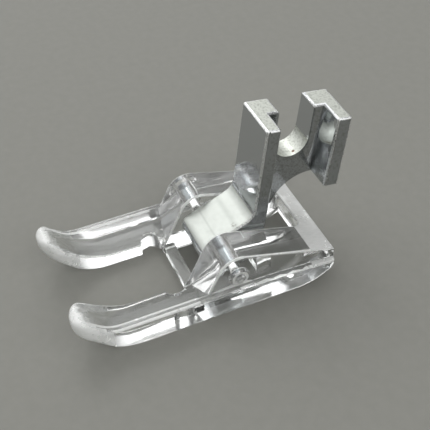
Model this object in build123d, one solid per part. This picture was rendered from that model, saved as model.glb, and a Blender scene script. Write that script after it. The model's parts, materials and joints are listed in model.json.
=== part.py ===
from build123d import *
from math import asin, cos, degrees, radians, sin, tan
import os

# Open-toe presser foot for a low-shank sewing machine: a clear moulded sole that tips on
# a steel pin through the nose of a plated cast shank, which clamps to the presser bar.
# +Z is up from the sole's underside, +Y runs to the rear, +X to the operator's right.
# All lengths are millimetres. Every piece is drawn with the pin axis at Y = 0, and the
# whole foot is moved at the end so that its origin is under the middle of its box.

# Sole: overall sizes
sole_width = 21.0
toe_gap = 9.9
toe_reach = 23.2  # pin axis to the toe tips
tail_reach = 14.8  # pin axis to the rear end
pin_height = 5.95  # pin axis above the underside

# Sole: toes that curl up at the front, and a tail that curls up at the rear
toe_curl = 8.8  # length of the upturned stretch
toe_curl_radius = 8.0
toe_rise = 42.0  # degrees
toe_thickness = 2.35  # at the upturned tip
tip_trim = 0.2  # how far the tip's round front is cut back
toe_inner_height = 2.1
toe_outer_height = 4.1
toe_inner_hollow = 10.0  # radius where the low inner edge sweeps up to the tip
toe_outer_hollow = 4.0
tip_inner_corner = 3.0  # corner radii in plan
tip_outer_corner = 1.8
tip_flat = 0.5  # least straight stretch between the corners
tail_curl = 6.0
tail_curl_radius = 8.5
tail_corner = 0.8
ledge_width = 0.9  # step outside each wall, level with the toe
tail_land = 0.82  # upright rear end of the ledge, above the curl
rim_round = 0.35  # upper edges of the toes and the ledges
sole_chamfer = 0.25  # lower edges, so that fabric slides under them

# Sole: walls that carry the pin and fall away to the rear
ear_radius = 3.2
facet_slope = 64.0  # degrees
ramp_slope = 16.7  # degrees
wall_round = 0.3  # upper edges
collar_radius = 1.45
collar_stand = 0.7  # how far a collar stands off the wall
collar_chamfer = 0.25

# Sole: bars that tie the two sides together, and the needle's notches
front_bar_offset = 5.95  # pin axis to the front face
front_bar_width = 1.65
front_bar_height = 1.6
front_bar_relief = 0.4  # under the bar, so that stitches pass
rear_bar_width = 2.5
rear_relief = 2.2  # under the rear bar and the stop rib
window_corner = 1.2  # radius where the rear bar meets the walls
stop_offset = 4.0  # pin axis to the front of the rib that the tongue rests on
stop_width = 2.2
notch_radius = 1.4
notch_offset = 7.65  # pin axis to the notch centres

# Pin
pin_diameter = 1.6
pin_recess = 0.9  # from a collar's end to the pin's end
pin_chamfer = 0.2

# Shank, in its working stance with the presser bar upright
shank_width = 7.5
front_wall_face = 4.55  # pin axis to the front of the wall
front_wall_thickness = 2.15
channel_length = 8.4  # takes an 8 mm presser bar
rear_wall_thickness = 2.25
channel_depth = 3.85
shank_top = 18.65  # above the pin axis
screw_height = 13.4  # thumb screw above the pin axis
screw_slot_width = 5.3
rear_wall_bottom = 7.4
web_relief_radius = 6.0  # under the web, in front of the rear wall
tongue_slope = 30.0  # degrees
tongue_top = 1.4  # pin axis to the tongue's upper face
tongue_hollow = 2.2  # radius between the tongue and the wall
nose_radius = 1.8
nose_length = 2.9  # pin axis to the tongue's front
cast_round = 0.35  # edges of the casting
rest_lean = 7.4  # degrees that the shank leans back on its stop

# Clearances
hinge_clearance = 0.05  # shank bore over the pin, on the radius
side_clearance = 0.35  # shank to each wall
stop_clearance = 0.08  # tongue to the stop rib at rest

# Limits
round_share = 0.45  # most of a wall's thickness that the round on an edge takes
touching = 0.001  # how near counts as the same place

half_width = sole_width / 2
toe_inner = toe_gap / 2
wall_inner = shank_width / 2 + side_clearance
wall_outer = half_width - ledge_width
pin_radius = pin_diameter / 2
collar_end = wall_outer + collar_stand


def side_plane(x):
    """Plane across X at x, drawn in (y, z)."""
    return Plane(origin=(x, 0, 0), x_dir=(0, 1, 0), z_dir=(1, 0, 0))


def at(centre, radius, angle):
    """Point on a circle, with its angle in degrees."""
    return (centre[0] + radius * cos(radians(angle)), centre[1] + radius * sin(radians(angle)))


def arc(centre, radius, start, end):
    """Arc of a circle between two angles in degrees."""
    middle = (start + end) / 2
    return ThreePointArc(at(centre, radius, start), at(centre, radius, middle), at(centre, radius, end))


def outline(*items):
    """Face whose edge runs through arcs and corner points in turn, with straight lines between."""
    edges = [item for item in items if not isinstance(item, tuple)]
    for item, following in zip(items, items[1:] + items[:1]):
        start = item if isinstance(item, tuple) else item @ 1
        end = following if isinstance(following, tuple) else following @ 0
        edges.append(Line(start, end))
    return make_face(edges)


def bar_between(x_start, x_end, radius):
    """Round bar along X on the pin axis."""
    bar = Cylinder(radius, x_end - x_start, align=(Align.CENTER, Align.CENTER, Align.MIN))
    return Pos(x_start, 0, pin_height) * Rot(Y=90) * bar


# Side profiles of the sole
toe_centre = (toe_curl - toe_reach, toe_curl_radius)
tail_centre = (tail_reach - tail_curl, tail_curl_radius)
tail_angle = degrees(asin(tail_curl / tail_curl_radius))
tail_end = at(tail_centre, tail_curl_radius, -90 + tail_angle)
ledge_fall = toe_outer_height - tail_end[1] - tail_land
fall_radius = (tail_reach ** 2 + ledge_fall ** 2) / (2 * ledge_fall)
fall_angle = degrees(asin(tail_reach / fall_radius))
tip_radius = toe_thickness / 2
tip_base = at(toe_centre, toe_curl_radius - tip_radius, -90 - toe_rise)
tip_y = tip_radius - toe_reach - tip_trim
tip_centre = (tip_y, tip_base[1] + (tip_base[0] - tip_y) * tan(radians(toe_rise)))
pin_axis = (0, pin_height)
ramp_top = at(pin_axis, ear_radius, 90 - ramp_slope)


def ramp_height(y):
    """Height of the ramp behind the ear."""
    return ramp_top[1] - (y - ramp_top[0]) * tan(radians(ramp_slope))


def toe_profile(x, level, hollow, *back):
    """Outline of a toe, from what ends it at the back to the upturned tip."""
    rise = radians(toe_rise)
    touch = at(tip_centre, tip_radius, 90 - toe_rise)
    hollow_z = level + hollow
    hollow_y = touch[0] + (hollow - (hollow_z - touch[1]) * cos(rise)) / sin(rise)
    face = outline(
        *back,
        arc((hollow_y, hollow_z), hollow, -90, -90 - toe_rise),
        arc(tip_centre, tip_radius, 90 - toe_rise, 270 - toe_rise),
        arc(toe_centre, toe_curl_radius, -90 - toe_rise, -90),
    )
    return side_plane(x) * face


def wall_profile(x):
    """Outline of the wall: front facet, round ear on the pin axis, and ramp down to the tail."""
    facet_top = at(pin_axis, ear_radius, 90 + facet_slope)
    facet_drop = (facet_top[0] + front_bar_offset) * tan(radians(facet_slope))
    face = outline(
        (-front_bar_offset, 0),
        arc(tail_centre, tail_curl_radius, -90, -90 + tail_angle),
        (tail_reach, ramp_height(tail_reach)),
        arc(pin_axis, ear_radius, 90 - ramp_slope, 90 + facet_slope),
        (-front_bar_offset, facet_top[1] - facet_drop),
    )
    return side_plane(x) * face


def make_toe():
    """Right-hand toe, sloped to the needle gap, with the ledge that runs beside the wall to the tail."""
    inner_back = ((0, 0), (0, toe_inner_height))
    outer_back = ((0, 0), (0, toe_outer_height))
    ledge_back = (
        arc(tail_centre, tail_curl_radius, -90, -90 + tail_angle),
        arc((0, toe_outer_height - fall_radius), fall_radius, 90 - fall_angle, 90),
    )
    inner_side = toe_profile(toe_inner, toe_inner_height, toe_inner_hollow, *inner_back)
    outer_side = toe_profile(wall_outer, toe_outer_height, toe_outer_hollow, *outer_back)
    ledge_side = toe_profile(wall_outer, toe_outer_height, toe_outer_hollow, *ledge_back)
    toe = loft([inner_side, outer_side], ruled=True) + extrude(ledge_side, amount=ledge_width, dir=(1, 0, 0))

    inner_corner = min(tip_inner_corner, half_width - toe_inner - tip_outer_corner - tip_flat)
    plan = outline(
        (toe_inner, tail_reach),
        arc((toe_inner + inner_corner, inner_corner - toe_reach), inner_corner, 180, 270),
        arc((half_width - tip_outer_corner, tip_outer_corner - toe_reach), tip_outer_corner, 270, 360),
        arc((half_width - tail_corner, tail_reach - tail_corner), tail_corner, 0, 90),
    )
    toe &= extrude(plan, amount=pin_height + ear_radius)

    def rim(way):
        """Edges along the outline of the plan, on the faces that look up (1) or down (-1)."""
        edges = [edge for face in toe.faces() if face.normal_at().Z * way > touching for edge in face.edges()]
        middles = [edge @ 0.5 for edge in edges]
        beside = [plan.wire().distance_to(Vertex(middle.X, middle.Y, 0)) for middle in middles]
        return [edge for edge, distance in zip(edges, beside) if distance < touching]

    toe = chamfer(rim(-1), sole_chamfer)
    toe = fillet(rim(1), min(rim_round, tail_land * round_share))
    return toe - Pos(toe_inner, -notch_offset, 0) * Cylinder(notch_radius, 2 * pin_height)


def make_walls():
    """The two walls and the bar across the tail, as one block round the window between them."""
    block = extrude(wall_profile(-wall_outer), amount=2 * wall_outer, dir=(1, 0, 0))
    corner_y = tail_reach - rear_bar_width - window_corner
    corner_x = wall_inner - window_corner
    window = outline(
        (wall_inner, -front_bar_offset),
        arc((corner_x, corner_y), window_corner, 0, 90),
        arc((-corner_x, corner_y), window_corner, 90, 180),
        (-wall_inner, -front_bar_offset),
    )
    block -= extrude(window, amount=pin_height + ear_radius)
    tail_edge = block.edges().filter_by(Axis.X).group_by(Axis.Y)[-1].sort_by(Axis.Z)[0]
    block = chamfer(tail_edge, sole_chamfer)

    upper = [edge for face in block.faces() if face.normal_at().Z > touching for edge in face.edges()]
    crests = ShapeList(edge for edge in upper if upper.count(edge) == 1)
    facet_foot = crests.group_by(Axis.Y)[0]
    block = fillet(crests - facet_foot, wall_round)
    relief_length = rear_bar_width + window_corner
    return block - Pos(0, tail_reach, 0) * Box(2 * wall_inner, 2 * relief_length, 2 * rear_relief)


def tie_between(*points):
    """Bar of the given section that ties the two walls together."""
    return extrude(side_plane(-wall_inner) * outline(*points), amount=2 * wall_inner, dir=(1, 0, 0))


def make_front_bar():
    """Thin bar behind the needle's notches."""
    back = front_bar_width - front_bar_offset
    return tie_between(
        (-front_bar_offset, front_bar_relief),
        (back, front_bar_relief),
        (back, front_bar_height),
        (-front_bar_offset, front_bar_height),
    )


def make_stop_rib():
    """Rib under the tongue, sloped to meet the tongue's underside when the shank leans back."""
    slope = radians(tongue_slope - rest_lean)
    drop = (2 * nose_radius - tongue_top + stop_clearance) / cos(slope)
    back = stop_offset + stop_width
    return tie_between(
        (stop_offset, rear_relief),
        (back, rear_relief),
        (back, pin_height + back * tan(slope) - drop),
        (stop_offset, pin_height + stop_offset * tan(slope) - drop),
    )


def make_collar():
    """Collar round the right-hand end of the pin."""
    collar = bar_between(wall_inner, collar_end, collar_radius)
    rim = collar.edges().sort_by(Axis.X)[-1]
    return chamfer(rim, collar_chamfer)


def make_sole():
    """Clear sole: two walls with a toe and a collar on each, and the bars between them."""
    side = make_toe() + make_collar()
    sole = make_walls() + side + mirror(side, about=Plane.YZ)
    sole += make_front_bar()
    sole += make_stop_rib()
    return sole - bar_between(-collar_end, collar_end, pin_radius)


def make_pin():
    """Steel hinge pin, set just inside the collars."""
    reach = collar_end - pin_recess
    pin = bar_between(-reach, reach, pin_radius)
    return chamfer(pin.edges(), pin_chamfer)


def make_shank():
    """Plated shank about its own pin axis, upright as it is clamped to the presser bar."""
    half = shank_width / 2
    slope = radians(tongue_slope)
    wall_back = front_wall_face + front_wall_thickness
    rear_face = wall_back + channel_length
    rear_back = rear_face + rear_wall_thickness

    nose_y = nose_radius - nose_length
    nose_z = (tongue_top + nose_y * sin(slope) - nose_radius) / cos(slope)
    nose_centre = (nose_y, nose_z)
    tongue_under = nose_z - nose_radius / cos(slope)

    hollow_y = front_wall_face - tongue_hollow
    hollow_z = (tongue_top + hollow_y * sin(slope) + tongue_hollow) / cos(slope)

    def under(y):
        """Height of the tongue's underside."""
        return tongue_under + (y - nose_y) * tan(slope)

    tongue = outline(
        arc(nose_centre, nose_radius, 90 + tongue_slope, 270 + tongue_slope),
        (wall_back, under(wall_back)),
        (wall_back, shank_top),
        (front_wall_face, shank_top),
        arc((hollow_y, hollow_z), tongue_hollow, 0, tongue_slope - 90),
    )
    web = outline(
        (front_wall_face, under(front_wall_face)),
        (rear_face, under(rear_face)),
        (rear_face, shank_top),
        (front_wall_face, shank_top),
    )
    web -= Pos(rear_face, rear_wall_bottom - web_relief_radius) * Circle(web_relief_radius)
    rear_wall = outline(
        (rear_face, rear_wall_bottom),
        (rear_back, rear_wall_bottom),
        (rear_back, shank_top),
        (rear_face, shank_top),
    )
    shank = extrude(side_plane(-half) * tongue, amount=shank_width, dir=(1, 0, 0))
    shank += extrude(side_plane(-half) * web, amount=shank_width - channel_depth, dir=(1, 0, 0))
    shank += extrude(side_plane(-half) * rear_wall, amount=shank_width, dir=(1, 0, 0))

    def on_side(edge):
        """True for an edge of either side face."""
        return abs(abs(edge.center().X) - half) < touching

    shank = fillet(shank.edges().filter_by(Axis.Z).filter_by(on_side), cast_round)

    slot_y = wall_back + channel_length / 2
    slot = outline(
        arc((slot_y, screw_height), screw_slot_width / 2, 180, 360),
        (slot_y + screw_slot_width / 2, shank_top),
        (slot_y - screw_slot_width / 2, shank_top),
    )
    shank -= extrude(side_plane(-half) * slot, amount=shank_width, dir=(1, 0, 0))
    shank = fillet(shank.edges().group_by(Axis.Z)[-1], cast_round)
    bore = Cylinder(pin_radius + hinge_clearance, shank_width)
    return shank - Rot(Y=90) * bore


sole = make_sole()
pin = make_pin()
shank = Pos(0, 0, pin_height) * Rot(X=-rest_lean) * make_shank()

box = Compound([sole, pin, shank]).bounding_box()
middle = Pos(0, -box.center().Y, 0)
os.makedirs("parts", exist_ok=True)
for name, piece in (("clear_sole", sole), ("hinge_pin", pin), ("shank", shank)):
    export_step(middle * piece, f"parts/{name}.step")
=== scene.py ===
import json
import math

import bpy
import bmesh
from mathutils import Matrix, Vector, noise
from mathutils.bvhtree import BVHTree


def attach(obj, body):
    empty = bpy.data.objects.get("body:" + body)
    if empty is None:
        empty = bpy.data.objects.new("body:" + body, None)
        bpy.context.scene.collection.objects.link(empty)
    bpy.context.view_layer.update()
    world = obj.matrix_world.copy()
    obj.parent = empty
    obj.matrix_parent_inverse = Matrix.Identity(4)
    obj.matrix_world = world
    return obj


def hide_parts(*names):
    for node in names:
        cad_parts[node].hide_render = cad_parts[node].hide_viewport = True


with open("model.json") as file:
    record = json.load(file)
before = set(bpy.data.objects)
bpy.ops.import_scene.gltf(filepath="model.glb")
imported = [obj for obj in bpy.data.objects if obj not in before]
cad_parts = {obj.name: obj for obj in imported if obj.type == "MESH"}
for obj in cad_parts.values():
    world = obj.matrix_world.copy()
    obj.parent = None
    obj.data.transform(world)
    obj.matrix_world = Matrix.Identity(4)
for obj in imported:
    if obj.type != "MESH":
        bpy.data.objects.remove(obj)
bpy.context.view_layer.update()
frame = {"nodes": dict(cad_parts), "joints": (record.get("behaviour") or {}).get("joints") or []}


# Clear sole: the foot's one moulding, in clear acrylic from a polished steel mould, with the
# hinge pin in its two ears. Use has worn its tips and edges white, scuffed its tail, and
# rubbed its underside, its facets and its notches. The white of the tips and rounded edges is
# partly that wear and partly painted highlight, and the strips along the toes' ridges are
# whitened as a painted highlight line.

MM = 0.001
toe_end = -21.38 * MM
tip_back = -16.4 * MM  # the tips are whitened, as wear and as painted highlight, only in front of it
toe_inside, inside_corner = 4.95 * MM, 3.0 * MM  # side at the needle gap, and its corner's radius
toe_outside, outside_corner = 10.5 * MM, 1.8 * MM
ridge_inside, ridge_outside = 9.35 * MM, 9.75 * MM  # where a toe's slope meets its ledge
rail_inside = 6.4 * MM
rail_front = -4.1 * MM
notch_middle, notch_reach = -5.83 * MM, 1.5 * MM
tail_bar = 12.9 * MM
underside = 1.5 * MM
collar_reach = 1.7 * MM
hinge = Vector(frame["joints"][0]["pos_m"])


def narrow_rounds(mesh):
    """For each face, whether it lies on a narrow round or chamfer of an edge."""
    widest_round = 0.6 * MM
    tightest_bore = 1.8 / MM  # turn per metre, above that of any bore or nose
    shape = bmesh.new()
    shape.from_mesh(mesh)
    on_round = []
    for face in shape.faces:
        area = face.calc_area()
        turns = [edge.calc_face_angle() * edge.calc_length() / (2 * area)
                 for edge in face.edges if 2 * area / edge.calc_length() < widest_round]
        on_round.append(max(turns, default=0.0) > tightest_bore)
    shape.free()
    return on_round


def merged_piece(node, name, body, finish_shape=None):
    """A smooth-shaded copy of a CAD node that stands for it and rides on its body."""
    weld_distance = 0.0005 * MM
    sharp_from = math.radians(26)
    mesh = frame["nodes"][node].data.copy()
    mesh.name = name
    shape = bmesh.new()
    shape.from_mesh(mesh)
    bmesh.ops.remove_doubles(shape, verts=shape.verts, dist=weld_distance)
    if finish_shape:
        finish_shape(shape)
        bmesh.ops.dissolve_degenerate(shape, dist=weld_distance, edges=shape.edges)
    shape.to_mesh(mesh)
    shape.free()
    mesh.polygons.foreach_set("use_smooth", [True] * len(mesh.polygons))
    mesh.set_sharp_from_angle(angle=sharp_from)
    piece = bpy.data.objects.new(name, mesh)
    bpy.context.scene.collection.objects.link(piece)
    flat_faces = piece.modifiers.new("flat faces stay flat", "WEIGHTED_NORMAL")
    flat_faces.keep_sharp = True
    flat_faces.weight = 100
    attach(piece, body)
    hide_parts(node)
    return piece


def linear(hex_colour):
    """An sRGB hex colour as linear RGBA."""
    parts = [int(hex_colour[i:i + 2], 16) / 255 for i in (1, 3, 5)]
    return [c / 12.92 if c <= 0.04045 else ((c + 0.055) / 1.055) ** 2.4 for c in parts] + [1.0]


def add_node(tree, kind, settings=(), inputs=()):
    """Adds a node, sets its properties, and sets or links its inputs."""
    node = tree.nodes.new(kind)
    for key, value in dict(settings).items():
        setattr(node, key, value)
    for key, value in dict(inputs).items():
        if isinstance(value, bpy.types.NodeSocket):
            tree.links.new(value, node.inputs[key])
        else:
            node.inputs[key].default_value = value
    return node


def new_material(name):
    """An empty node material with its tree and its output's surface socket."""
    material = bpy.data.materials.new(name)
    material.use_nodes = True
    tree = material.node_tree
    tree.nodes.clear()
    output = add_node(tree, "ShaderNodeOutputMaterial")
    return material, tree, output.inputs["Surface"]


def acrylic(name, clearness, smoothest, roughest, darkest):
    """Clear acrylic: a moulding's faint waviness, and a haze and fine streaks where it is rubbed."""
    lightest = "#FEFFFE"
    refraction = 1.49
    wave_length, wave_depth = 3.0 * MM, 0.004 * MM
    haze_size = 1.2 * MM
    least_haze, most_haze = 0.35, 0.75  # levels of the noise
    rub_width, rub_length = 0.25 * MM, 2.5 * MM
    material, tree, surface = new_material(name)
    place = add_node(tree, "ShaderNodeTexCoord").outputs["Object"]
    wave = add_node(tree, "ShaderNodeTexNoise", inputs={
        "Vector": place, "Scale": 1 / wave_length, "Detail": 1.0}).outputs["Fac"]
    ripple = add_node(tree, "ShaderNodeBump", inputs={
        "Height": wave, "Distance": wave_depth, "Strength": 0.6}).outputs["Normal"]
    haze = add_node(tree, "ShaderNodeTexNoise", inputs={
        "Vector": place, "Scale": 1 / haze_size, "Detail": 4.0}).outputs["Fac"]
    rough = add_node(tree, "ShaderNodeMapRange", inputs={
        "Value": haze, "From Min": least_haze, "From Max": most_haze,
        "To Min": smoothest, "To Max": roughest}).outputs[0]
    streaks = add_node(tree, "ShaderNodeMapping", inputs={
        "Vector": place, "Scale": (1 / rub_width, 1 / rub_length, 1 / rub_width)}).outputs[0]
    rub = add_node(tree, "ShaderNodeTexNoise", inputs={
        "Vector": streaks, "Scale": 1.0, "Detail": 3.0}).outputs["Fac"]
    colour = add_node(tree, "ShaderNodeMix", {"data_type": "RGBA"}, {
        "Factor": rub, "A": linear(darkest), "B": linear(lightest)}).outputs["Result"]
    shader = add_node(tree, "ShaderNodeBsdfPrincipled", inputs={
        "Base Color": colour, "Roughness": rough, "Normal": ripple,
        "IOR": refraction, "Transmission Weight": clearness})
    tree.links.new(shader.outputs[0], surface)
    return material


def corner_cut(corner, back):
    """How far a round corner has drawn a toe's side in, this far back from the toe's end."""
    short = max(corner - max(back, 0.0), 0.0)
    return corner - math.sqrt(corner ** 2 - short ** 2)


def rim_distance(point):
    """How far a point of a toe lies inside the toe's two sides."""
    back = point.y - toe_end
    inside = toe_inside + corner_cut(inside_corner, back)
    outside = toe_outside - corner_cut(outside_corner, back)
    return min(abs(point.x) - inside, outside - abs(point.x))


def slice_faces(shape, faces, way, place):
    """Cuts faces along a plane, without moving their surface."""
    edges = dict.fromkeys(edge for face in faces for edge in face.edges)
    corners = dict.fromkeys(corner for face in faces for corner in face.verts)
    bmesh.ops.bisect_plane(shape, geom=[*faces, *edges, *corners],
                           plane_co=Vector(way) * place, plane_no=way)


def finish_sole(shape):
    """Cuts the mesh where its finish changes, and rounds the curled tips over at their rims."""
    along, across = (0, 1, 0), (1, 0, 0)
    cuts = [(along, y) for y in (rail_front, tail_bar)]
    cuts += [(across, side * x) for side in (-1, 1) for x in (rail_inside, ridge_inside, ridge_outside)]
    for way, place in cuts:
        slice_faces(shape, list(shape.faces), way, place)

    strip_width, strip_length = 0.16 * MM, 0.30 * MM
    strips = int((toe_outside - toe_inside) / strip_width)
    lengths = int((tip_back - toe_end) / strip_length)
    cuts = [(along, tip_back - i * strip_length) for i in range(lengths)]
    cuts += [(across, side * (toe_inside + i * strip_width))
             for side in (-1, 1) for i in range(1, strips + 1)]
    for way, place in cuts:
        slice_faces(shape, [f for f in shape.faces if f.calc_center_median().y < tip_back], way, place)

    flat_toe = BVHTree.FromBMesh(shape)
    round_reach = 1.0 * MM  # how far in from the rim the rounding starts
    thickness_from = 0.6 * MM  # how far in from the rim the toe's thickness is taken
    blunt = 0.35  # share of the thickness left at the rim
    tip_blend = 2.4 * MM  # stretch over which the rounding comes in
    far_off = 1.0  # metres, well clear of the foot
    up, down = Vector((0, 0, 1)), Vector((0, 0, -1))
    for corner in shape.verts:
        into_tip = (tip_back - corner.co.y) / tip_blend
        rim = max(rim_distance(corner.co), 0.0)
        if into_tip <= 0 or rim >= round_reach:
            continue
        middle = math.copysign((toe_inside + toe_outside) / 2, corner.co.x)
        step = max(thickness_from - rim, 0.0)
        x = corner.co.x + math.copysign(min(step, abs(middle - corner.co.x)), middle - corner.co.x)
        top = flat_toe.ray_cast(Vector((x, corner.co.y, far_off)), down)[0]
        bottom = flat_toe.ray_cast(Vector((x, corner.co.y, -far_off)), up)[0]
        if top and bottom:
            height = (top.z + bottom.z) / 2
            bulge = math.sqrt(1 - (1 - rim / round_reach) ** 2)
            squeeze = 1 - min(into_tip, 1.0) * (1 - blunt) * (1 - bulge)
            corner.co.z = height + (corner.co.z - height) * squeeze


def tip_wear_and_highlight(point):
    """Distance of a point from the rim of its toe's tip, whitened by wear and painted highlight, in
    millimetres, broken into streaks.
    """
    streak_width, streak_length, streak_height = 0.35, 1.8, 0.6  # millimetres
    streak_depth = 0.35
    end_reach = 1.6  # times as far back from the end as in from the sides
    sides_fade, fade_from = 0.25, 1.0  # the wear along the sides narrows from here back
    end = (point.y - toe_end) / MM
    rim = rim_distance(point) / MM
    grain = Vector((point.x / streak_width, point.y / streak_length, point.z / streak_height)) / MM
    from_rim = min(end / end_reach, rim + sides_fade * max(end - fade_from, 0.0))
    return from_rim + streak_depth * noise.noise(grain)


sole = merged_piece("clear_sole", "sole_clear", "sole", finish_sole)
finishes = {
    "polished": acrylic("clear acrylic, polished", clearness=0.97, smoothest=0.004, roughest=0.03,
                        darkest="#FBFDFC"),
    "worn_and_highlit": acrylic("clear acrylic, worn edges and tips", clearness=0.34, smoothest=0.25, roughest=0.45,
                    darkest="#E8EAE6"),
    "scuffed_and_highlit": acrylic("clear acrylic, scuffed", clearness=0.40, smoothest=0.14, roughest=0.32,
                       darkest="#DEE0DD"),
    "rubbed": acrylic("clear acrylic, rubbed", clearness=0.82, smoothest=0.05, roughest=0.14,
                      darkest="#F6F8F7"),
}
sole.data.materials.clear()
for material in finishes.values():
    sole.data.materials.append(material)
# The tips are whitened in bands in from the rim: partly wear, partly painted highlight.
worn_and_highlit_within, scuffed_and_highlit_within, rubbed_within, unworn = 0.75, 1.05, 1.35, 9.0  # millimetres from the rim
# Limits on a face's normal, for telling which way it looks
upward, partly_down, downward = 0.5, -0.2, -0.7
frontward, sideways, upright = -0.8, 0.9, 0.3
facet_least_up, facet_most_up = 0.3, 0.6
for face, on_round in zip(sole.data.polygons, narrow_rounds(sole.data)):
    place, way = face.center, face.normal
    on_ridge = ridge_inside < abs(place.x) < ridge_outside and place.y < rail_front
    looks_up = way.z > upward
    low_round = on_round and way.z < partly_down
    on_collar = abs(place.x) > ridge_outside and (place - hinge).yz.length < collar_reach
    on_collar_end = on_collar and abs(way.x) > sideways
    under_rail = way.z < downward and place.z < underside and abs(place.x) > rail_inside
    on_tail = looks_up and place.y > tail_bar
    on_facet = way.y < frontward and facet_least_up < way.z < facet_most_up and place.y > rail_front
    from_notch = Vector((abs(place.x) - toe_inside, place.y - notch_middle))
    in_notch = abs(way.z) < upright and from_notch.length < notch_reach
    wear_and_highlight = tip_wear_and_highlight(place) if place.y < tip_back else unworn
    if wear_and_highlight < worn_and_highlit_within:
        finish = "worn_and_highlit"
    # The strips on the toes' ridges are whitened as a painted highlight line; the tail and the collar
    # ends are scuffed.
    elif wear_and_highlight < scuffed_and_highlit_within or on_tail or on_collar_end or (on_ridge and looks_up):
        finish = "scuffed_and_highlit"
    elif wear_and_highlight < rubbed_within or under_rail or in_notch or on_facet:
        finish = "rubbed"
    # Rounded edges are whitened: partly worn frosting, partly painted highlight lines.
    elif on_round and not (low_round or on_collar):
        finish = "worn_and_highlit"
    else:
        finish = "polished"
    face.material_index = list(finishes).index(finish)


# Hinge pin: a short length of bright drawn steel, pressed through both ears of the sole, with
# its chamfered ends set back inside the collars.

def drawn_steel():
    """Bright drawn steel: grey, with lines along its length, drawn coarser than real to show."""
    line_width, line_length = 0.08 * MM, 3.0 * MM
    smoothest, roughest = 0.16, 0.34
    material, tree, surface = new_material("drawn steel, bright")
    place = add_node(tree, "ShaderNodeTexCoord").outputs["Object"]
    stretched = add_node(tree, "ShaderNodeMapping", inputs={
        "Vector": place, "Scale": (1 / line_length, 1 / line_width, 1 / line_width)}).outputs[0]
    lines = add_node(tree, "ShaderNodeTexNoise", inputs={
        "Vector": stretched, "Scale": 1.0, "Detail": 2.0}).outputs["Fac"]
    rough = add_node(tree, "ShaderNodeMapRange", inputs={
        "Value": lines, "To Min": smoothest, "To Max": roughest}).outputs[0]
    shader = add_node(tree, "ShaderNodeBsdfPrincipled", inputs={
        "Base Color": linear("#7E8488"), "Metallic": 1.0, "Roughness": rough})
    tree.links.new(shader.outputs[0], surface)
    return material


pin = merged_piece("hinge_pin", "pin_steel", "sole")
bore_share = 0.985  # leaves a hair of air round the pin, so that its surface and the bore's stay apart
for vertex in pin.data.vertices:
    vertex.co.y = hinge.y + (vertex.co.y - hinge.y) * bore_share
    vertex.co.z = hinge.z + (vertex.co.z - hinge.z) * bore_share
pin.data.materials.clear()
pin.data.materials.append(drawn_steel())


# Shank: one zinc casting, plated with bright chrome. Its tongue turns on the pin and its
# channel takes the presser bar, with the clamp screw in the open slot.

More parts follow.
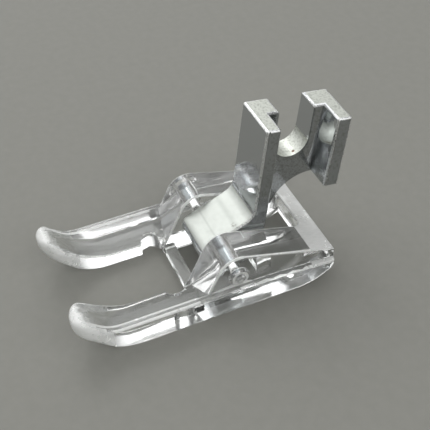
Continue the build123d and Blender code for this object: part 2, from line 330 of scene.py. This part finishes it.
def chrome(name, base, smoothest, roughest, grain_depth, pitting=0.0):
    """Chrome plate over a casting: a mirror with a cast grain and pits, its edges rubbed pale and painted
    as highlight lines.
    """
    pit_colour, rubbed_and_highlight_colour, bare_colour = "#83857F", "#F2F3F1", "#3C3B38"
    rubbed_roughness = 0.62
    wave_length, wave_depth = 1.6 * MM, 0.02 * MM
    grain_size, haze_size, rub_size = 0.3 * MM, 0.7 * MM, 0.12 * MM
    # Levels of the noises and of the crest where each mark starts and is full
    least_haze, most_haze = 0.35, 0.75
    rub_from, rub_full = 0.40, 0.55
    crest_from, crest_full = 0.50, 0.95
    pit_from, pit_full = 0.50, 0.36
    bare_from, bare_full = 0.60, 0.66
    material, tree, surface = new_material(name)
    place = add_node(tree, "ShaderNodeTexCoord").outputs["Object"]
    wave = add_node(tree, "ShaderNodeTexNoise", inputs={
        "Vector": place, "Scale": 1 / wave_length, "Detail": 2.0}).outputs["Fac"]
    ripple = add_node(tree, "ShaderNodeBump", inputs={
        "Height": wave, "Distance": wave_depth, "Strength": 0.7}).outputs["Normal"]
    grain = add_node(tree, "ShaderNodeTexNoise", inputs={
        "Vector": place, "Scale": 1 / grain_size, "Detail": 3.0}).outputs["Fac"]
    cast_skin = add_node(tree, "ShaderNodeBump", inputs={
        "Height": grain, "Distance": grain_depth, "Strength": 0.8, "Normal": ripple}).outputs["Normal"]
    haze = add_node(tree, "ShaderNodeTexNoise", inputs={
        "Vector": place, "Scale": 1 / haze_size, "Detail": 5.0}).outputs["Fac"]
    polish = add_node(tree, "ShaderNodeMapRange", inputs={
        "Value": haze, "From Min": least_haze, "From Max": most_haze,
        "To Min": smoothest, "To Max": roughest}).outputs[0]
    crest = add_node(tree, "ShaderNodeAttribute", {"attribute_name": "crest"}).outputs["Fac"]
    rub = add_node(tree, "ShaderNodeTexNoise", inputs={
        "Vector": place, "Scale": 1 / rub_size, "Detail": 2.0}).outputs["Fac"]
    broken = add_node(tree, "ShaderNodeMapRange", inputs={
        "Value": rub, "From Min": rub_from, "From Max": rub_full}).outputs[0]
    thin_line = add_node(tree, "ShaderNodeMapRange", inputs={
        "Value": crest, "From Min": crest_from, "From Max": crest_full}).outputs[0]
    rubbed_and_highlit_edge = add_node(tree, "ShaderNodeMath", {"operation": "MULTIPLY"}, {
        0: thin_line, 1: broken}).outputs[0]
    rough = add_node(tree, "ShaderNodeMix", {"data_type": "FLOAT"}, {
        "Factor": rubbed_and_highlit_edge, "A": polish, "B": rubbed_roughness}).outputs["Result"]
    pits = add_node(tree, "ShaderNodeMapRange", inputs={
        "Value": grain, "From Min": pit_from, "From Max": pit_full, "To Max": pitting}).outputs[0]
    bare = add_node(tree, "ShaderNodeMapRange", inputs={
        "Value": grain, "From Min": bare_from, "From Max": bare_full}).outputs[0]
    bare_edge = add_node(tree, "ShaderNodeMath", {"operation": "MULTIPLY"}, {
        0: thin_line, 1: bare}).outputs[0]
    colour = add_node(tree, "ShaderNodeMix", {"data_type": "RGBA"}, {
        "Factor": pits, "A": linear(base), "B": linear(pit_colour)}).outputs["Result"]
    # Pale rounds: partly rubbed plating, partly painted highlight lines along the edges.
    colour = add_node(tree, "ShaderNodeMix", {"data_type": "RGBA"}, {
        "Factor": rubbed_and_highlit_edge, "A": colour, "B": linear(rubbed_and_highlight_colour)}).outputs["Result"]
    colour = add_node(tree, "ShaderNodeMix", {"data_type": "RGBA"}, {
        "Factor": bare_edge, "A": colour, "B": linear(bare_colour)}).outputs["Result"]
    shader = add_node(tree, "ShaderNodeBsdfPrincipled", inputs={
        "Base Color": colour, "Metallic": 1.0, "Roughness": rough, "Normal": cast_skin})
    tree.links.new(shader.outputs[0], surface)
    return material, tree, place, grain, colour, shader


def bright_chrome():
    """The plating left bright: a slightly wavy mirror."""
    return chrome("chrome plate, bright", base="#C6C9CB", smoothest=0.03, roughest=0.11,
                  grain_depth=0.007 * MM)[0]


def pitted_and_shaded_chrome():
    """The plating on the casting's flat sides, bright with fine dark pits, its base darker than the
    bright plating's as painted shade on the sides.
    """
    return chrome("chrome plate, pitted", base="#AFB2B4", smoothest=0.10, roughest=0.26,
                  grain_depth=0.014 * MM, pitting=0.6)[0]


def spot(tree, place, grain, centre, radius, sparse):
    """How far a round spot covers each point, patchy with the grain above the sparse level."""
    full_radius = 0.3 * radius
    patch_edge = 0.12
    away = add_node(tree, "ShaderNodeVectorMath", {"operation": "DISTANCE"}, {
        0: place, 1: Vector(centre) * MM}).outputs["Value"]
    near = add_node(tree, "ShaderNodeMapRange", inputs={
        "Value": away, "From Min": radius * MM, "From Max": full_radius * MM}).outputs[0]
    patchy = add_node(tree, "ShaderNodeMapRange", inputs={
        "Value": grain, "From Min": sparse, "From Max": sparse + patch_edge}).outputs[0]
    return add_node(tree, "ShaderNodeMath", {"operation": "MULTIPLY"}, {0: near, 1: patchy}).outputs[0]


def satin_chrome():
    """The plating rubbed satin, with two bands of painted shade across the tongue and a scuff."""
    painted_shade_bands = ((1.43, 0.25, 0.45), (4.35, 0.65, 0.40))  # place along Y and half width in mm, strength
    scuff_centre, scuff_radius, scuff_sparse = (2.75, 4.25, 8.48), 0.55, 0.48
    material, tree, place, grain, colour, shader = chrome(
        "chrome plate, rubbed satin", base="#BDC1BC", smoothest=0.36, roughest=0.52,
        grain_depth=0.010 * MM)
    along = add_node(tree, "ShaderNodeSeparateXYZ", inputs={0: place}).outputs["Y"]
    # Two bands across the tongue darkened as painted shade.
    for line, half_width, strength in painted_shade_bands:
        off = add_node(tree, "ShaderNodeMath", {"operation": "SUBTRACT"}, {
            0: along, 1: line * MM}).outputs[0]
        gap = add_node(tree, "ShaderNodeMath", {"operation": "ABSOLUTE"}, {0: off}).outputs[0]
        painted_shade_band = add_node(tree, "ShaderNodeMapRange", {"interpolation_type": "SMOOTHSTEP"}, {
            "Value": gap, "From Min": half_width * MM, "From Max": 0.0, "To Max": strength}).outputs[0]
        colour = add_node(tree, "ShaderNodeMix", {"data_type": "RGBA"}, {
            "Factor": painted_shade_band, "A": colour, "B": linear("#9CA09B")}).outputs["Result"]
    scuff = spot(tree, place, grain, scuff_centre, scuff_radius, scuff_sparse)
    colour = add_node(tree, "ShaderNodeMix", {"data_type": "RGBA"}, {
        "Factor": scuff, "A": colour, "B": linear("#7E7B76")}).outputs["Result"]
    tree.links.new(colour, shader.inputs["Base Color"])
    return material


def cast_chrome():
    """The plating over a coarse cast skin, with dark pits in its grain and a speck of rust."""
    rust_centre, rust_radius, rust_sparse = (-0.78, 15.06, 15.28), 0.32, 0.20
    material, tree, place, grain, colour, shader = chrome(
        "chrome plate, cast skin", base="#C2C5BE", smoothest=0.38, roughest=0.60,
        grain_depth=0.024 * MM, pitting=0.5)
    rust = spot(tree, place, grain, rust_centre, rust_radius, rust_sparse)
    colour = add_node(tree, "ShaderNodeMix", {"data_type": "RGBA"}, {
        "Factor": rust, "A": colour, "B": linear("#4A230C")}).outputs["Result"]
    tree.links.new(colour, shader.inputs["Base Color"])
    return material


shank = merged_piece("shank", "shank_chrome", "shank_body")
on_rounds = narrow_rounds(shank.data)
crest = [1.0] * len(shank.data.vertices)
for face, on_round in zip(shank.data.polygons, on_rounds):
    if not on_round:
        for corner in face.vertices:
            crest[corner] = 0.0
shank.data.attributes.new("crest", "FLOAT", "POINT").data.foreach_set("value", crest)
platings = {
    "bright": bright_chrome(),
    "satin": satin_chrome(),
    "cast": cast_chrome(),
    "pitted_and_shaded": pitted_and_shaded_chrome(),
}
shank.data.materials.clear()
for material in platings.values():
    shank.data.materials.append(material)
wall_top = max(vertex.co.z for vertex in shank.data.vertices)
tops_from = wall_top - 2.5 * MM
slot_bottom, slot_top = 14.5 * MM, wall_top - 3.0 * MM
tongue_back = 7.5 * MM
# Limits on a face's normal, for telling which way it looks
tongue_up, top_up, slot_up = 0.55, 0.9, 0.3
for face, on_round in zip(shank.data.polygons, on_rounds):
    place, way = face.center, face.normal
    on_tongue = way.z > tongue_up and place.y < tongue_back
    on_top = way.z > top_up and place.z > tops_from and not on_round
    in_slot = way.z > slot_up and slot_bottom < place.z < slot_top and not on_round
    if on_tongue:
        plating = "satin"
    elif on_top or in_slot:
        plating = "cast"
    # Faces looking sideways get the darker pitted plating, as painted shade on the sides.
    elif abs(way.x) > sideways:
        plating = "pitted_and_shaded"
    else:
        plating = "bright"
    face.material_index = list(platings).index(plating)


# Stage: a plain pale grey sheet to stand on, in an evenly lit room. A wide soft window with a
# brighter lamp in it shines from the left, a soft light from the right, and a dimmer one from
# low at the front left.

def pale_sheet():
    """Pale grey matt sheet with a faint mottle."""
    mottle_size = 1.5 * MM
    material, tree, surface = new_material("pale grey sheet")
    place = add_node(tree, "ShaderNodeTexCoord").outputs["Object"]
    mottle = add_node(tree, "ShaderNodeTexNoise", inputs={
        "Vector": place, "Scale": 1 / mottle_size, "Detail": 3.0}).outputs["Fac"]
    colour = add_node(tree, "ShaderNodeMix", {"data_type": "RGBA"}, {
        "Factor": mottle, "A": linear("#797973"), "B": linear("#81817B")}).outputs["Result"]
    shader = add_node(tree, "ShaderNodeBsdfPrincipled", inputs={
        "Base Color": colour, "Roughness": 0.7})
    tree.links.new(shader.outputs[0], surface)
    return material


floor_half = 600 * MM
floor_gap = 0.02 * MM
floor_mesh = bpy.data.meshes.new("floor")
floor_corners = [(-floor_half, -floor_half, 0), (floor_half, -floor_half, 0),
                 (floor_half, floor_half, 0), (-floor_half, floor_half, 0)]
floor_mesh.from_pydata(floor_corners, [], [(0, 1, 2, 3)])
floor_mesh.materials.append(pale_sheet())
floor = bpy.data.objects.new("floor", floor_mesh)
floor.location.z = -floor_gap
bpy.context.scene.collection.objects.link(floor)

world = bpy.data.worlds.new("room")
bpy.context.scene.world = world
world.use_nodes = True
room = world.node_tree
room.nodes.clear()
wall_glow, ceiling_glow = 0.30, 0.46
ceiling_from = 0.6  # upward part of the direction at which the walls have turned into the ceiling
soft_lights = (  # direction, angles in degrees where the light is gone and where it is full, glow
    ((-0.70, -0.02, 0.70), 52, 15, 1.30),  # window
    ((-0.68, 0.02, 0.73), 11, 4, 5.0),  # lamp in the window
    ((0.673, 0.272, 0.688), 38, 14, 1.6),  # light from the right
    ((-0.66, -0.72, 0.16), 32, 8, 0.75),  # low light
)
direction = add_node(room, "ShaderNodeTexCoord").outputs["Generated"]
height = add_node(room, "ShaderNodeSeparateXYZ", inputs={0: direction}).outputs["Z"]
glow = add_node(room, "ShaderNodeMapRange", {"interpolation_type": "SMOOTHSTEP"}, {
    "Value": height, "From Min": 0.0, "From Max": ceiling_from,
    "To Min": wall_glow, "To Max": ceiling_glow}).outputs[0]
for way, gone_angle, full_angle, strength in soft_lights:
    towards = add_node(room, "ShaderNodeVectorMath", {"operation": "DOT_PRODUCT"}, {
        0: direction, 1: Vector(way).normalized()}).outputs["Value"]
    light = add_node(room, "ShaderNodeMapRange", {"interpolation_type": "SMOOTHSTEP"}, {
        "Value": towards, "From Min": math.cos(math.radians(gone_angle)),
        "From Max": math.cos(math.radians(full_angle)), "To Min": 0.0, "To Max": strength}).outputs[0]
    glow = add_node(room, "ShaderNodeMath", {"operation": "ADD"}, {0: glow, 1: light}).outputs[0]
background = add_node(room, "ShaderNodeBackground", inputs={"Color": linear("#FFFFFF"), "Strength": glow})
add_node(room, "ShaderNodeOutputWorld", inputs={"Surface": background.outputs[0]})

camera_data = bpy.data.cameras.new("camera")
camera_data.sensor_width = 36.0
camera_data.lens = 72.49
camera_data.clip_start = 5 * MM
camera = bpy.data.objects.new("camera", camera_data)
under_hinge = Vector((hinge.x, hinge.y, 0))
camera.location = under_hinge + Vector((82.05, -32.40, 92.44)) * MM
look = Vector((-0.67307, 0.27227, -0.68764))
roll = math.radians(-2.12)
camera.rotation_mode = "QUATERNION"
camera.rotation_quaternion = look.to_track_quat("-Z", "Y") @ Matrix.Rotation(roll, 3, "Z").to_quaternion()
bpy.context.scene.collection.objects.link(camera)
bpy.context.scene.camera = camera
bpy.context.scene.view_settings.view_transform = "Standard"
